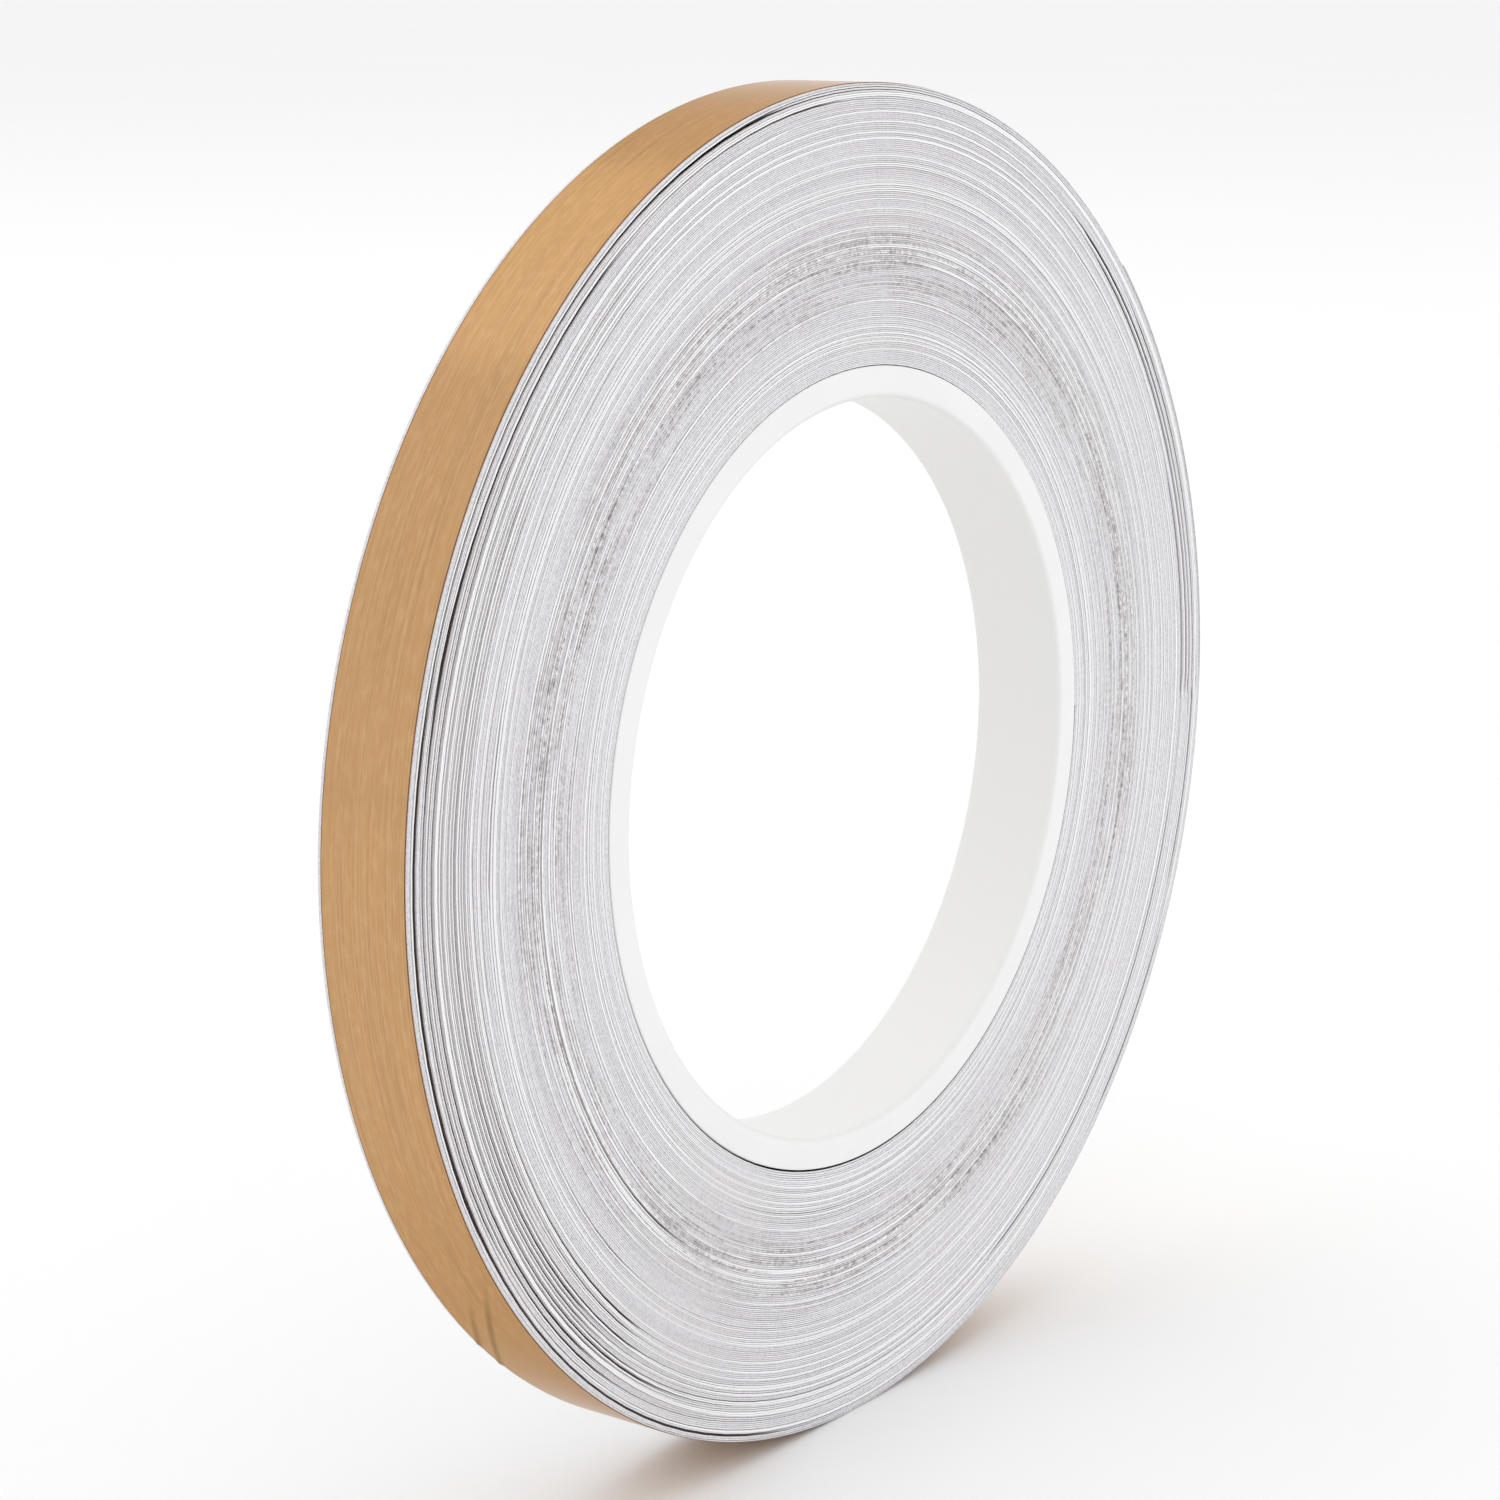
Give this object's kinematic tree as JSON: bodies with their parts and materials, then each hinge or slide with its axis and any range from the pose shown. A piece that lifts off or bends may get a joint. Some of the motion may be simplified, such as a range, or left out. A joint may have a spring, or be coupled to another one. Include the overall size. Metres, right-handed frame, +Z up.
{
  "type": "copper foil tape roll",
  "caption": "Roll of narrow adhesive-backed copper foil tape on a plastic core, with a release liner and a free outer end that peels up.",
  "frame": {"origin": "centre of the core's bore, halfway across the roll's width", "axes": "+Y along the core's axis, +Z up with the roll standing on its rim, the tape's free end high on the +X side"},
  "size_m": [0.1391, 0.011, 0.1389],
  "materials": {
    "core_plastic": "white moulded plastic, satin",
    "tab_tape": "double-sided tape",
    "wound_edges": "edges of wound copper foil and white liner, pale grey",
    "liner_paper": "white release paper",
    "adhesive_film": "clear tacky film",
    "copper_foil": "copper foil, satin rolled finish"
  },
  "bodies": {
    "roll": {"core": "core_plastic", "start_tab": "tab_tape", "wound_turns": "wound_edges", "liner_wrap": "liner_paper", "adhesive_wrap": "adhesive_film", "foil_wrap": "copper_foil"},
    "tail_1": {"liner_tail_1": "liner_paper", "adhesive_tail_1": "adhesive_film", "foil_tail_1": "copper_foil"},
    "tail_2": {"liner_tail_2": "liner_paper", "adhesive_tail_2": "adhesive_film", "foil_tail_2": "copper_foil"},
    "tail_3": {"liner_tail_3": "liner_paper", "adhesive_tail_3": "adhesive_film", "foil_tail_3": "copper_foil"},
    "tail_4": {"adhesive_tail_4": "adhesive_film", "foil_tail_4": "copper_foil"},
    "tail_5": {"adhesive_tail_5": "adhesive_film", "foil_tail_5": "copper_foil"},
    "liner_end_4": {"liner_tail_4": "liner_paper"},
    "liner_end_5": {"liner_tail_5": "liner_paper"}
  },
  "joints": [
    {"name": "tail_peel", "type": "hinge", "parent": "roll", "child": "tail_1", "pos_m": [0.06955, 0, 0], "axis": [0, 1, 0], "range_deg": [0, 18]},
    {"name": "tail_bend_2", "type": "hinge", "parent": "tail_1", "child": "tail_2", "pos_m": [0.06869, 0, 0.0109], "axis": [0, 1, 0], "range_deg": [0, 18]},
    {"name": "tail_bend_3", "type": "hinge", "parent": "tail_2", "child": "tail_3", "pos_m": [0.06614, 0, 0.02152], "axis": [0, 1, 0], "range_deg": [0, 18]},
    {"name": "tail_bend_4", "type": "hinge", "parent": "tail_3", "child": "tail_4", "pos_m": [0.06196, 0, 0.03162], "axis": [0, 1, 0], "range_deg": [0, 18]},
    {"name": "tail_bend_5", "type": "hinge", "parent": "tail_4", "child": "tail_5", "pos_m": [0.05625, 0, 0.04094], "axis": [0, 1, 0], "range_deg": [0, 18]},
    {"name": "liner_split_4", "type": "hinge", "parent": "tail_3", "child": "liner_end_4", "pos_m": [0.06178, 0, 0.03153], "axis": [0, -1, 0], "range_deg": [0, 9]},
    {"name": "liner_split_5", "type": "hinge", "parent": "liner_end_4", "child": "liner_end_5", "pos_m": [0.05609, 0, 0.04082], "axis": [0, -1, 0], "range_deg": [0, 9]}
  ],
  "couplings": [
    {"joint": "tail_bend_2", "follows": "tail_peel", "ratio": 1},
    {"joint": "tail_bend_3", "follows": "tail_peel", "ratio": 1},
    {"joint": "tail_bend_4", "follows": "tail_peel", "ratio": 1},
    {"joint": "tail_bend_5", "follows": "tail_peel", "ratio": 1},
    {"joint": "liner_split_4", "follows": "tail_peel", "ratio": 0.5},
    {"joint": "liner_split_5", "follows": "tail_peel", "ratio": 0.5}
  ]
}
